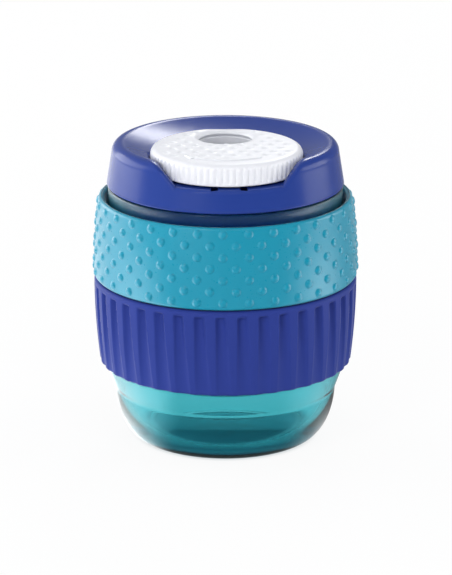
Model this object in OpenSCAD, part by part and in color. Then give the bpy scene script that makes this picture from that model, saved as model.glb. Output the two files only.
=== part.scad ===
// Canister pencil sharpener: a clear container with two soft grip sleeves and a push-on lid.
// A ribbed dial in the lid turns to uncover or close the pencil hole. The sharpener hangs
// under the lid, so the shavings fall into the container.
// Origin: centre of the base, on the surface it stands on. +Z up, notch and arrow toward -Y.

/* [Container] */
// Height of the container's rim above the table
rim_z = 43.7; // [40:0.1:50]
// Outer radius of the seat that carries the sleeves
seat_r = 20.2; // [18.6:0.05:24]
// How far the neck is set in from the seat
neck_step = 0.55; // [0.3:0.05:1.2]
// Wall of the neck
neck_wall = 1.4; // [1:0.1:2]
// Height of the straight neck
neck_h = 3.7; // [2.6:0.1:6]
// Height of the cone between the seat and the neck
shoulder_h = 2.5; // [1:0.1:4]
// Height at which the flare below the seat ends
flare_top_z = 13; // [11:0.1:16]
// Height at which the rounded lower corner ends and the flare begins
corner_z = 8.6; // [6:0.1:9.5]
// How far the top of the rounded corner is set in from the seat
corner_step = 1.6; // [0.8:0.1:2.4]
// Radius of the flat ring that the container stands on
base_r = 14; // [10:0.1:15.5]
// Wall of the container below the flare
base_wall = 1.6; // [1.2:0.1:2]
// Thickness of the container's floor
floor_t = 1.6; // [1.2:0.1:3]
// Depth of the recess under the floor
recess_h = 0.5; // [0.2:0.1:0.8]

/* [Grip sleeves] */
// Largest thickness of the two sleeves
grip_t = 1.88; // [1.6:0.02:3.5]
// Height of that largest radius
barrel_z = 27.8; // [24:0.1:31]
// Radius of the barrel's side, seen from the side
barrel_curve_r = 115; // [90:1:300]
// Height of the ribbed sleeve
ribbed_h = 14.8; // [12:0.1:16]
// Gap under each sleeve
sleeve_gap = 0.2; // [0.1:0.05:0.5]
// Height of the neck that the dotted sleeve leaves bare
neck_show = 1.7; // [1:0.1:3]
// Rounding of the sleeves' outer edges
sleeve_round = 0.4; // [0.2:0.1:0.6]
// Number of flutes round the ribbed sleeve
flute_count = 39; // [24:1:44]
// Depth of a flute
flute_depth = 0.45; // [0.2:0.05:0.6]
// Radius of a flute's hollow
flute_r = 1.7; // [1.2:0.1:3]
// Lean of the flutes
flute_lean = 7; // [0:0.5:12]
// Smooth band above the flutes
flute_band = 0.9; // [0.5:0.1:2]
// Dots in one row of the dotted sleeve
dot_count = 32; // [20:1:36]
// Height from the sleeve's lower edge to the first row
dot_first = 1.3; // [1.1:0.1:2]
// Least height left above the last row
dot_last = 1; // [1:0.1:2]
// Distance between rows
dot_step = 1.9; // [1.6:0.05:3]
// Diameter of a dot
dot_d = 1.3; // [0.8:0.05:1.6]
// Height of a dot
dot_h = 0.35; // [0.2:0.05:0.5]

/* [Lid] */
// Gap between the container's rim and the lid
lid_gap = 0.2; // [0.05:0.05:0.4]
// How far the lid's lower edge stands out past the neck
lid_lip = 0.2; // [0:0.05:0.5]
// How far the lid's side leans in up to its rounded top edge
lid_taper = 0.85; // [0.4:0.05:1.2]
// Height of the lid above its lower edge
lid_h = 7.2; // [6.8:0.1:9]
// Rounding of the lid's top edge
lid_round = 1.6; // [1:0.1:2]
// Radius of the hollow of the dished top
dish_curve_r = 54.6; // [50:0.2:90]
// Thickness of the dished top
dish_t = 1.5; // [1.2:0.1:1.8]
// Depth of the plug that goes into the neck
plug_h = 4.8; // [3:0.1:8]
// Wall of that plug
plug_wall = 1.25; // [1:0.05:1.5]
// Clearance between plug and neck
plug_clear = 0.1; // [0.05:0.01:0.2]
// Height of the dial well's floor above the lid's lower edge
well_floor_h = 3.85; // [3.6:0.05:4.4]
// Thickness of that floor
well_floor_t = 1.6; // [1.4:0.1:1.8]
// Wall round the dial well
well_wall = 1.3; // [1:0.1:1.6]
// Half width of the thumb notch at its bottom
notch_half = 8.7; // [6:0.1:9.5]
// Slope of the notch's sides, sideways for each millimetre up
notch_slope = 0.93; // [0.4:0.01:1]
// Width of the slits beside the click tongue
slit_w = 1.1; // [0.6:0.1:1.4]
// Width of the click tongue
tongue_w = 3.7; // [3:0.1:6]
// Length of the click tongue
tongue_l = 3.2; // [2.4:0.1:3.6]

/* [Dial] */
// Radius of the dial
dial_r = 12.65; // [12:0.05:13.4]
// Distance from the dial's side to the lid's lower edge, at the notch
dial_edge = 1.45; // [1:0.05:2]
// Running gap between the dial and the well's side
dial_gap = 0.15; // [0.1:0.05:0.4]
// Running gap between the dial and the well's floor
dial_lift = 0.35; // [0.25:0.05:0.5]
// Height of the dial above that gap
dial_h = 3.6; // [3.4:0.1:4.5]
// Thickness of the dial's top
dial_top_t = 1.5; // [1.2:0.1:1.8]
// Wall of the dial's skirt
dial_wall = 1.5; // [1.2:0.1:2]
// Rounding of the dial's top edge
dial_round = 1.2; // [0.8:0.1:1.4]
// Number of ribs round the dial
rib_count = 72; // [48:1:80]
// Depth of the grooves between the ribs
rib_depth = 0.25; // [0.1:0.05:0.3]
// Radius of the hollow of a groove between the ribs
groove_r = 0.36; // [0.3:0.02:0.5]
// Radius of the sharpener's bore, which the pencil fits
pencil_r = 4.1; // [3.8:0.05:4.4]
// Clearance round the pencil in the dial and in the holder, past the bore's radius
hole_clear = 0.2; // [0.15:0.05:0.4]
// Wall between the pencil hole and the dial's side
hole_edge = 1.55; // [1.2:0.05:2]
// Chamfer at the mouth of the pencil hole
hole_chamfer = 0.5; // [0.2:0.05:0.8]
// Wall of the tubes under the dial's top
tube_wall = 1.05; // [0.8:0.05:1.3]
// Wall of the lid's floor between the dial's pin and the pencil hole
pin_land = 0.75; // [0.5:0.05:1]
// Running clearance of the dial's pin
pin_clear = 0.1; // [0.05:0.01:0.15]
// Width of the slit that lets the pin's two halves spring
pin_slit = 0.7; // [0.4:0.1:0.9]
// Reach of the pin's hooks under the well's floor
hook_reach = 0.4; // [0.25:0.05:0.5]
// Height of the hooks
hook_h = 0.7; // [0.5:0.05:0.9]
// Inner radius of the stop lug's path
lug_r = 7; // [6:0.1:7.4]
// Width of the stop lug
lug_w = 1.3; // [1:0.1:1.4]
// Turn of the dial from open to closed
dial_turn = 180; // [120:5:200]
// Distance between the small domes on the dial
dome_pitch = 2.6; // [2.2:0.1:3.2]
// Diameter of a dome
dome_d = 1.3; // [0.8:0.1:1.6]
// Height of a dome
dome_h = 0.2; // [0.1:0.05:0.3]
// Radius of the raised arrow's arc
arrow_r = 8.2; // [7.8:0.1:8.8]
// Width of the arrow's line
arrow_w = 0.7; // [0.5:0.1:1]
// Length and width of the arrow's head
arrow_head = 1.9; // [1.4:0.1:2.4]
// Height of the raised arrow
arrow_h = 0.25; // [0.15:0.05:0.3]

/* [Sharpener holder] */
// Thickness of the holder's plate
plate_t = 1.5; // [1.2:0.1:2]
// Gap between the snap hooks and the holder's plate
plate_gap = 0.4; // [0.3:0.05:0.6]
// Clearance between the holder's plate and the plug
plate_clear = 0.3; // [0.2:0.05:0.5]
// Distance from the plate's edge to its screws
screw_set = 3; // [2.6:0.1:3.2]
// Outer radius of a screw boss
boss_r = 2.1; // [1.9:0.05:2.3]
// Radius of a holder screw's thread
holder_screw_r = 0.9; // [0.7:0.05:1]
// Radius of a holder screw's head
holder_head_r = 1.7; // [1.5:0.05:1.9]
// Height of a holder screw's head
holder_head_h = 1; // [0.8:0.1:1.4]
// Length of a holder screw's thread above the plate
holder_grip = 2.6; // [2:0.1:3]
// Wall of the holder's socket
socket_wall = 1.4; // [1.2:0.1:1.8]
// Depth of the holder's socket
socket_h = 16; // [8:0.5:20]
// Clearance between the sharpener and its socket
socket_clear = 0.05; // [0.02:0.01:0.1]

/* [Sharpener] */
// Length of the sharpener's body
body_l = 25; // [24:0.5:28]
// Width of the sharpener's body
body_w = 15; // [14:0.1:16]
// Distance from the bore's axis to the back of the body
body_back = 5.5; // [5:0.1:6]
// Length of the straight bore above the cone
guide_l = 4; // [3:0.1:5]
// Half angle of the cone that the pencil's point gets
cone_half = 12; // [11:0.5:13]
// How far the cone breaks through the slanted face under the blade
face_bite = 0.15; // [0.1:0.05:0.3]
// Radius of the point opening at the cone's end
tip_r = 0.6; // [0.4:0.1:0.8]
// Depth of the finger hollows in the body's sides
grip_depth = 0.9; // [0.4:0.1:1.2]
// Depth of the chip slot beside the cutting edge
chip_depth = 1.1; // [0.8:0.1:1.4]
// Width of the chip slot
chip_w = 3.2; // [2.4:0.1:4]
// Thickness of the blade
blade_t = 0.6; // [0.5:0.05:0.8]
// Width of the blade
blade_w = 7.4; // [7:0.1:7.5]
// Length of the blade
blade_l = 22; // [20:0.5:23]
// Width of the blade's ground bevel
bevel_w = 1.6; // [1:0.1:2]
// Distance from the cutting edge to the blade screw
blade_hole_x = 4.4; // [4.1:0.1:5]
// Radius of the blade screw's thread
blade_screw_r = 1.3; // [1:0.05:1.4]
// Length of the blade screw's thread in the body
blade_screw_l = 4.5; // [3:0.1:5]
// Radius of the blade screw's head
blade_head_r = 2.3; // [2:0.05:2.6]
// Height of the blade screw's head
blade_head_h = 1.2; // [0.8:0.1:1.6]
// Clearance round the threads
thread_clear = 0.05; // [0.02:0.01:0.1]

/* [Hidden] */
$fn = 96;
eps = 0.01;
over = 1;                                   // how far a cutter runs past what it cuts

// container
neck_r = seat_r - neck_step;
bore_r = neck_r - neck_wall;
shoulder_z = rim_z - neck_h - shoulder_h;
corner_r = seat_r - corner_step;
corner_n = 1.84;                            // fullness of the rounded corner's curve
corner_steps = 12;
rim_round = 0.35;
recess_r = base_r - 1.7;

// sleeves
sleeve_r = seat_r + 0.02;
barrel_r = sleeve_r + grip_t;
ribbed_z0 = flare_top_z + sleeve_gap;
ribbed_z1 = ribbed_z0 + ribbed_h;
dotted_z0 = ribbed_z1 + sleeve_gap;
dotted_z1 = rim_z - neck_show;
dot_rows = floor((dotted_z1 - dotted_z0 - dot_first - dot_last) / dot_step + eps) + 1;
dot_phase = -3;

// lid
lid_z0 = rim_z + lid_gap;
lid_top = lid_z0 + lid_h;
lid_r = neck_r + lid_lip;
lid_shoulder_r = lid_r - lid_taper;
plug_r = bore_r - plug_clear;
plug_in = plug_r - plug_wall;
crest_r = lid_shoulder_r - lid_round;
crest_in = 2.5;                             // inner rounding of the crest
crest_turn = 17;                            // angle of the crest's inner rounding
dish_edge_r = crest_r - crest_in * sin(crest_turn);
dish_edge_a = asin(dish_edge_r / dish_curve_r);
dish_cz = lid_top - crest_in * (1 - cos(crest_turn)) + dish_curve_r * cos(dish_edge_a);
arc_steps = 8;
hollow_r = plug_in + 0.8;
hollow_z = lid_z0 + 1.5;

// dial and well
dial_offset = lid_r - dial_edge - dial_r;   // from the barrel's axis to the dial's axis
well_z = lid_z0 + well_floor_h;
floor_z = well_z - well_floor_t;
well_r = dial_r + dial_gap;
dial_z0 = well_z + dial_lift;
dial_z1 = dial_z0 + dial_h;
dial_under = dial_z1 - dial_top_t;
hole_r = pencil_r + hole_clear;
hole_offset = dial_r - hole_edge - hole_r;  // from the dial's axis to the pencil's axis
pencil_y = hole_offset - dial_offset;
floor_hole_r = hole_r + 0.1;
pin_hole_r = hole_offset - floor_hole_r - pin_land;
pin_r = pin_hole_r - pin_clear;
hook_z1 = floor_z - 0.2;
hook_z0 = hook_z1 - hook_h;
lug_angle = 12;                             // angle that the stop lug spans
lug_play = 2;                               // spare angle at each end of its track
lug_clear = 0.1;                            // gap round the lug in its track
track_t = 0.8;                              // floor left under the lug's track
dome_ball_r = (pow(dome_d / 2, 2) + pow(dome_h, 2)) / (2 * dome_h);
dome_keep = 1.9;                            // width kept free of domes along the arrow
arrow_from = -136;
arrow_to = -50;
bump_r = 0.6;
bump_h = 0.2;

// holder
plate_z1 = hook_z0 - plate_gap;
plate_z0 = plate_z1 - plate_t;
plate_r = plug_in - plate_clear;
screw_ring_r = plate_r - screw_set;
screw_angles = [0, 90, 180];
boss_hole_r = holder_screw_r + thread_clear;

// sharpener
body_z1 = plate_z0;
body_z0 = body_z1 - body_l;
cone_z1 = body_z1 - guide_l;
cone_l = (pencil_r - tip_r) / tan(cone_half);
face_y1 = pencil_r + guide_l * tan(cone_half) - face_bite;   // slanted face to the axis, at the top
blade_mid = 13;                             // from the body's top to the blade's middle
grip_curve_r = 26;

function arc_points(cx, cy, r, a0, a1, steps) =
    [for (i = [0:steps]) let (a = a0 + (a1 - a0) * i / steps) [cx + r * cos(a), cy + r * sin(a)]];

// quarter of a rounded corner from a flat base to an upright wall
function corner_points(r0, r1, z0, z1) =
    [for (i = [0:corner_steps]) let (a = 90 * (1 - i / corner_steps))
        [r0 + (r1 - r0) * pow(cos(a), 2 / corner_n), z1 - (z1 - z0) * pow(sin(a), 2 / corner_n)]];

function dish_points(drop) =
    [for (i = [0:arc_steps]) let (a = dish_edge_a * (1 - i / arc_steps))
        [dish_curve_r * sin(a), dish_cz - dish_curve_r * cos(a) - drop]];

function barrel_at(z) = barrel_r - barrel_curve_r + sqrt(pow(barrel_curve_r, 2) - pow(z - barrel_z, 2));

module at_dial() { translate([0, -dial_offset, 0]) children(); }

module at_pencil() { translate([0, pencil_y, 0]) children(); }

// ---------------------------------------------------------------- container

module container_outside() {
    rotate_extrude($fn = 144)
        polygon(concat([[0, 0]], corner_points(base_r, corner_r, 0, corner_z),
            [[seat_r, flare_top_z], [seat_r, shoulder_z],
             [neck_r, shoulder_z + shoulder_h], [neck_r, rim_z - rim_round],
             [neck_r - rim_round, rim_z], [0, rim_z]]));
}

module container_inside() {
    rotate_extrude($fn = 144)
        polygon(concat([[0, floor_t]],
            corner_points(base_r - base_wall, corner_r - base_wall, floor_t, corner_z + 0.1),
            [[bore_r, flare_top_z], [bore_r, rim_z + over], [0, rim_z + over]]));
}

module container() {
    color([0.16, 0.62, 0.7, 0.55])
    difference() {
        container_outside();
        container_inside();
        translate([0, 0, -over]) cylinder(r = recess_r, h = over + recess_h);
    }
}

// ---------------------------------------------------------------- sleeves

// half section of a sleeve between two heights, with rounded outer edges
module sleeve_section(z0, z1, steps) {
    low = z0 + sleeve_round;
    high = z1 - sleeve_round;
    polygon(concat([[sleeve_r, z0]],
        arc_points(barrel_at(low) - sleeve_round, low, sleeve_round, -90, -15, 4),
        [for (i = [0:steps]) let (z = low + (high - low) * i / steps) [barrel_at(z), z]],
        arc_points(barrel_at(high) - sleeve_round, high, sleeve_round, 15, 90, 4),
        [[sleeve_r, z1]]));
}

// one flute: a round hollow that follows the barrel's side and leans
module flute() {
    flute_l = ribbed_z1 - flute_band - ribbed_z0 + over;
    mid_z = ribbed_z0 - over + flute_l / 2;
    slope = atan((barrel_at(ribbed_z1 - flute_band) - barrel_at(ribbed_z0)) / flute_l);
    translate([barrel_at(mid_z) + flute_r - flute_depth, 0, mid_z])
        rotate([flute_lean, slope, 0])
        cylinder(r = flute_r, h = flute_l, center = true, $fn = 32);
}

module ribbed_sleeve() {
    color([0.19, 0.25, 0.56])
    difference() {
        rotate_extrude($fn = 144) sleeve_section(ribbed_z0, ribbed_z1, 4);
        for (i = [0:flute_count - 1]) rotate(i * 360 / flute_count) flute();
    }
}

// height of the middle of a row of dots
function dot_row_z(row) = dotted_z0 + dot_first + row * dot_step;

// one dot, a stud with a flat top; every second row is set off by half a pitch
module dot(row, i) {
    rotate(-90 + dot_phase + (i + (row % 2) / 2) * 360 / dot_count)
        translate([barrel_at(dot_row_z(row)) - dot_h, 0, dot_row_z(row)])
        rotate([0, 90, 0])
        cylinder(d1 = dot_d + dot_h, d2 = dot_d - dot_h, h = 2 * dot_h, $fn = 24);
}

module dotted_sleeve() {
    color([0.2, 0.63, 0.74])
    union() {
        rotate_extrude($fn = 144) sleeve_section(dotted_z0, dotted_z1, dot_rows);
        for (row = [0:dot_rows - 1], i = [0:dot_count - 1]) dot(row, i);
    }
}

// ---------------------------------------------------------------- lid

module lid_outside() {
    rotate_extrude($fn = 144)
        polygon(concat([[0, lid_z0], [lid_r, lid_z0]],
            arc_points(crest_r, lid_top - lid_round, lid_round, 0, 90, arc_steps),
            arc_points(crest_r, lid_top - crest_in, crest_in, 95, 90 + crest_turn, 2),
            dish_points(0)));
}

module lid_inside() {
    rotate_extrude($fn = 144)
        polygon(concat([[0, lid_z0 - over], [plug_in, lid_z0 - over], [plug_in, hollow_z],
            [hollow_r, hollow_z], [hollow_r, lid_top - lid_round - 0.6]],
            dish_points(dish_t)));
}

module lid_bosses() {
    for (a = screw_angles) rotate(a) translate([screw_ring_r, 0, plate_z1])
        cylinder(r = boss_r, h = lid_top - plate_z1 - dish_t, $fn = 48);
}

module lid_solid() {
    difference() {
        lid_outside();
        lid_inside();
    }
    intersection() {
        lid_outside();
        union() {
            at_dial() translate([0, 0, floor_z]) cylinder(r = well_r + well_wall, h = lid_h);
            lid_bosses();
        }
    }
    difference() {
        translate([0, 0, lid_z0 - plug_h]) cylinder(r = plug_r, h = plug_h + over / 2);
        translate([0, 0, lid_z0 - plug_h - over]) cylinder(r = plug_in, h = plug_h + 2 * over);
    }
}

module thumb_notch() {
    top = lid_top + over;
    translate([0, -dial_offset, 0]) rotate([90, 0, 0])
        linear_extrude(lid_r)
        polygon([[-notch_half, well_z], [notch_half, well_z],
                 [notch_half + notch_slope * (top - well_z), top],
                 [-notch_half - notch_slope * (top - well_z), top]]);
}

// the stop lug's track, part of a ring cut into the upper side of the well's floor
module lug_track() {
    span = dial_turn + lug_angle + 2 * lug_play;
    rotate(lug_angle / 2 + lug_play - span) rotate_extrude(angle = span)
        translate([lug_r - lug_clear, floor_z + track_t]) square([lug_w + 2 * lug_clear, well_floor_t]);
}

// two slits and a cross slit round the click tongue
module tongue_slits() {
    cut_h = well_floor_t + 2 * over;
    for (side = [-1, 1])
        translate([side * (tongue_w + slit_w) / 2 - slit_w / 2, -well_r - 0.15, floor_z - over])
        cube([slit_w, tongue_l + 0.15, cut_h]);
    translate([-tongue_w / 2 - slit_w, tongue_l - slit_w - well_r, floor_z - over])
        cube([tongue_w + 2 * slit_w, slit_w, cut_h]);
}

// the bump on the click tongue, under the dial's skirt
module click_bump() {
    translate([0, dial_wall / 2 - dial_r, well_z - bump_r + bump_h])
        rotate([90, 0, 0]) cylinder(r = bump_r, h = 1, center = true, $fn = 24);
}

module lid() {
    color([0.18, 0.25, 0.56])
    difference() {
        union() {
            difference() {
                lid_solid();
                at_dial() {
                    translate([0, 0, well_z]) cylinder(r = well_r, h = lid_h);
                    lug_track();
                    tongue_slits();
                }
                thumb_notch();
            }
            at_dial() click_bump();
        }
        translate([0, 0, floor_z - over]) {
            at_dial() cylinder(r = pin_hole_r, h = well_floor_t + 2 * over);
            at_pencil() cylinder(r = floor_hole_r, h = well_floor_t + 2 * over);
        }
        for (a = screw_angles) rotate(a) translate([screw_ring_r, 0, plate_z1 - over])
            cylinder(r = boss_hole_r, h = over + holder_grip + 0.4, $fn = 32);
    }
}

// ---------------------------------------------------------------- dial

module dial_cap() {
    rotate_extrude($fn = 144)
        polygon(concat([[0, dial_z0], [dial_r, dial_z0]],
            arc_points(dial_r - dial_round, dial_z1 - dial_round, dial_round, 0, 90, 6),
            [[0, dial_z1]]));
}

module rib_grooves() {
    for (i = [0:rib_count - 1]) rotate(i * 360 / rib_count)
        translate([dial_r + groove_r - rib_depth, 0, dial_z0 - over])
        cylinder(r = groove_r, h = over + dial_h - dial_round * 0.7, $fn = 16);
}

// the split pin that the dial turns on, with hooks under the well's floor
module dial_pin() {
    difference() {
        union() {
            translate([0, 0, hook_z0]) cylinder(r = pin_r, h = dial_under - hook_z0 + over / 2);
            translate([0, 0, hook_z0]) cylinder(r = pin_r + hook_reach, h = hook_h);
        }
        translate([-pin_slit / 2, -pin_r - over, hook_z0 - over])
            cube([pin_slit, 2 * (pin_r + over), dial_z0 - hook_z0 + over]);
    }
}

// the lug that stops the dial at the ends of its turn
module stop_lug() {
    rotate(-lug_angle / 2) rotate_extrude(angle = lug_angle)
        translate([lug_r, floor_z + track_t + lug_clear])
        square([lug_w, dial_under - floor_z - track_t]);
}

function dome_open(x, y) =
    norm([x, y]) < dial_r - dial_round - dome_d / 2
    && norm([x, y - hole_offset]) > hole_r + hole_chamfer + dome_d / 2
    && !(y < 0 && abs(norm([x, y]) - arrow_r) < dome_keep / 2
         && atan2(y, x) > arrow_from - 12 && atan2(y, x) < arrow_to + 4);

module domes() {
    n = ceil(dial_r / dome_pitch) + 1;
    for (row = [-n:n], i = [-n:n])
        let (x = (i + (abs(row) % 2) / 2) * dome_pitch, y = row * dome_pitch * sin(60))
        if (dome_open(x, y))
            translate([x, y, dial_z1 + dome_h - dome_ball_r]) sphere(r = dome_ball_r, $fn = 24);
}

module arrow() {
    translate([0, 0, dial_z1 - eps]) {
        rotate(arrow_from) rotate_extrude(angle = arrow_to - arrow_from)
            translate([arrow_r - arrow_w / 2, 0]) square([arrow_w, arrow_h]);
        rotate(arrow_from) translate([arrow_r, 0, 0]) linear_extrude(arrow_h)
            polygon([[-arrow_head / 2, 0.3], [arrow_head / 2, 0.3], [0, -arrow_head]]);
    }
}

module dial() {
    color([0.93, 0.93, 0.95])
    at_dial() difference() {
        union() {
            difference() {
                dial_cap();
                translate([0, 0, dial_z0 - over])
                    cylinder(r = dial_r - dial_wall, h = over + dial_h - dial_top_t);
                rib_grooves();
            }
            dial_pin();
            stop_lug();
            domes();
            arrow();
            for (side = [-1, 1]) translate([0, side * hole_offset, dial_z0]) difference() {
                cylinder(r = hole_r + tube_wall, h = dial_h - dial_top_t / 2);
                if (side < 0) translate([0, 0, -over]) cylinder(r = hole_r, h = over + dial_h - dial_top_t);
            }
        }
        translate([0, hole_offset, dial_z0 - over]) cylinder(r = hole_r, h = dial_h + 2 * over);
        translate([0, hole_offset, dial_z1 - hole_chamfer])
            cylinder(r1 = hole_r, r2 = hole_r + hole_chamfer + over, h = hole_chamfer + over);
    }
}

// ---------------------------------------------------------------- sharpener holder

module socket() {
    wide = body_w / 2 + socket_clear + socket_wall;
    deep = body_back + socket_clear + socket_wall;
    front = face_y1 - socket_h * tan(cone_half) - blade_t;
    difference() {
        translate([-wide, -front, plate_z0 - socket_h]) cube([2 * wide, front + deep, socket_h + eps]);
        translate([-body_w / 2 - socket_clear, -front - over, plate_z0 - socket_h - over])
            cube([body_w + 2 * socket_clear, front + over + body_back + socket_clear, socket_h + over]);
    }
}

module sharpener_holder() {
    color([0.85, 0.86, 0.88])
    difference() {
        union() {
            translate([0, 0, plate_z0]) cylinder(r = plate_r, h = plate_t);
            at_pencil() socket();
        }
        at_pencil() translate([0, 0, plate_z0 - over]) cylinder(r = hole_r, h = plate_t + 2 * over);
        for (a = screw_angles) rotate(a) translate([screw_ring_r, 0, plate_z0 - over])
            cylinder(r = boss_hole_r + 0.1, h = plate_t + 2 * over, $fn = 32);
    }
}

module holder_screws() {
    color([0.7, 0.71, 0.73])
    for (a = screw_angles) rotate(a) translate([screw_ring_r, 0, plate_z0]) {
        difference() {
            translate([0, 0, -holder_head_h]) cylinder(r = holder_head_r, h = holder_head_h, $fn = 32);
            for (turn = [0, 90]) rotate(turn)
                translate([0, 0, -holder_head_h]) cube([2 * holder_head_r * 0.62, 0.4, 1], center = true);
        }
        cylinder(r = holder_screw_r, h = plate_t + holder_grip, $fn = 32);
    }
}

// ---------------------------------------------------------------- sharpener

// puts things on the slanted face: x across, y out of the body, z along the face
module on_face() {
    at_pencil() translate([0, -face_y1, body_z1]) rotate([cone_half, 0, 0]) children();
}

module sharpener_body() {
    color([0.72, 0.73, 0.74])
    difference() {
        at_pencil() difference() {
            translate([-body_w / 2, -face_y1, body_z0]) cube([body_w, face_y1 + body_back, body_l]);
            translate([0, 0, cone_z1]) cylinder(r = pencil_r, h = guide_l + over);
            translate([0, 0, cone_z1 - cone_l]) cylinder(r1 = tip_r, r2 = pencil_r, h = cone_l);
            translate([0, 0, body_z0 - over]) cylinder(r = tip_r, h = cone_z1 - cone_l - body_z0 + 2 * over);
            for (side = [-1, 1])
                translate([side * (body_w / 2 + grip_curve_r - grip_depth), 0, body_z0 + body_l * 0.42])
                rotate([90, 0, 0]) cylinder(r = grip_curve_r, h = 40, center = true);
        }
        on_face() translate([-body_w, -body_w, -body_l - 2 * over])
            cube([2 * body_w, body_w, body_l + 3 * over]);
        on_face() translate([0, 0, -body_l - over]) linear_extrude(body_l - guide_l + over)
            polygon([[-chip_w, -over], [0, -over], [0, chip_depth], [-chip_w, 0]]);
        on_face() translate([blade_hole_x, 0, -blade_mid]) rotate([-90, 0, 0])
            translate([0, 0, -over])
            cylinder(r = blade_screw_r + thread_clear, h = over + blade_screw_l + 0.4, $fn = 32);
    }
}

module blade() {
    color([0.8, 0.81, 0.83])
    on_face() translate([0, 0, -blade_mid]) difference() {
        translate([0, 0, -blade_l / 2]) linear_extrude(blade_l)
            polygon([[0, 0], [blade_w, 0], [blade_w, -blade_t], [bevel_w, -blade_t], [0, -0.05]]);
        translate([blade_hole_x, over, 0]) rotate([90, 0, 0])
            cylinder(r = blade_screw_r + 0.2, h = blade_t + 2 * over, $fn = 32);
    }
}

module blade_screw() {
    color([0.78, 0.78, 0.8])
    on_face() translate([blade_hole_x, 0, -blade_mid]) rotate([-90, 0, 0]) {
        translate([0, 0, -blade_t - eps]) cylinder(r = blade_screw_r, h = blade_t + blade_screw_l, $fn = 32);
        difference() {
            translate([0, 0, -blade_t - blade_head_h])
                cylinder(r = blade_head_r, h = blade_head_h, $fn = 48);
            translate([0, 0, -blade_t - blade_head_h])
                cube([2 * blade_head_r + over, 0.6, 1], center = true);
        }
    }
}

container();
ribbed_sleeve();
dotted_sleeve();
lid();
dial();
sharpener_holder();
holder_screws();
sharpener_body();
blade();
blade_screw();
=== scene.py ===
import math

import bpy
import numpy as np
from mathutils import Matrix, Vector


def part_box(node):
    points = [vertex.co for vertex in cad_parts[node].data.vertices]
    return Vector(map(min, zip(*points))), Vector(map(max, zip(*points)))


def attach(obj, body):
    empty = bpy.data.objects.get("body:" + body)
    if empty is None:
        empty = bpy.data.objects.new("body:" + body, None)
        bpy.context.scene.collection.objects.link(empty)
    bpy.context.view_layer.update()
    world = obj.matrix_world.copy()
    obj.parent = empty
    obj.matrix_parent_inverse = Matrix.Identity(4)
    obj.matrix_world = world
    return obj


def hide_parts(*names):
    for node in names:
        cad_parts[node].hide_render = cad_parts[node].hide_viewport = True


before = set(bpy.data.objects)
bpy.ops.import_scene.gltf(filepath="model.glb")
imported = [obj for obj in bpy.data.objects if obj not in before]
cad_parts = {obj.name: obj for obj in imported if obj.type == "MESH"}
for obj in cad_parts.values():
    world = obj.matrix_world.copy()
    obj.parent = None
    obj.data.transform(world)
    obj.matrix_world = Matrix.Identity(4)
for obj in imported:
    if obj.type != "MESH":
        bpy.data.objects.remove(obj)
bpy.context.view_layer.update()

# Every size below is in millimetres until a mesh is made.
MM = 0.001

# Outlines run this far past the axis, and cutting shapes this far past what they cut.
MARGIN = 1.0


def box_mm(node):
    low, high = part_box(node)
    return np.array(low) / MM, np.array(high) / MM


container_high = box_mm("container")[1]
ribbed_low, ribbed_high = box_mm("ribbed_sleeve")
dotted_low, dotted_high = box_mm("dotted_sleeve")
lid_low, lid_high = box_mm("lid")
dial_low, dial_high = box_mm("dial")

# ------------------------------------------------------------------ sizes

# container
SEAT_R = container_high[0]
RIM_Z = container_high[2]
NECK_R = SEAT_R - 0.55
NECK_WALL = 1.4
NECK_H = 3.7
SHOULDER_H = 2.5
BASE_WALL = 1.6
FLOOR_T = 1.6
BASE_R = 14.0
FOOT_ROUND = 0.3
RECESS_H = 0.5
RECESS_R = BASE_R - 1.7
RECESS_EDGE = 0.08  # share of the recess's height that is left at its edge
CORNER_R = SEAT_R - 1.6
CORNER_Z = 8.6
CORNER_FULLNESS = 1.84
FLARE_TOP_Z = ribbed_low[2] - 0.2
RIM_ROUND = 0.35
MOUTH_ROUND = 0.25
INNER_CORNER_UP = 0.1
AXIS_R = 0.001  # the section stops this far from the axis
CONTAINER_COLUMNS = 288

# sleeves
SLEEVE_R = SEAT_R + 0.02
BARREL_R = SLEEVE_R + 1.88
BARREL_Z = 27.8
BARREL_CURVE_R = 115.0
SLEEVE_ROUND = 0.6
INNER_ROUND = 0.7
INNER_ROUND_LOW = 0.25
INNER_SKIN = 0.3  # dots and flutes start this far out from the bore and are full at twice that
DOT_COUNT = 32
DOT_ROWS = 7
DOT_FIRST_Z = dotted_low[2] + 1.3
DOT_STEP = 1.9
DOT_D = 1.3
DOT_H = 0.35
DOT_FOOT = 0.05
DOT_PHASE = math.radians(-93.0)
FLUTE_COUNT = 39
FLUTE_DEPTH = 0.9
FLUTE_BAND = 0.9
FLUTE_PHASE = math.radians(-92.0)
FLUTE_LEAN = 0.31  # in pitches, over the sleeve's height
FLUTE_BLUNT = 0.65
FLUTE_END = 0.4
FLUTE_LOW = 0.25  # share of the depth that is left at the lower edge
RIDGE_LOW = 0.27  # a ridge's share of the pitch at the lower edge
RIDGE_HIGH = 0.54

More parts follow.
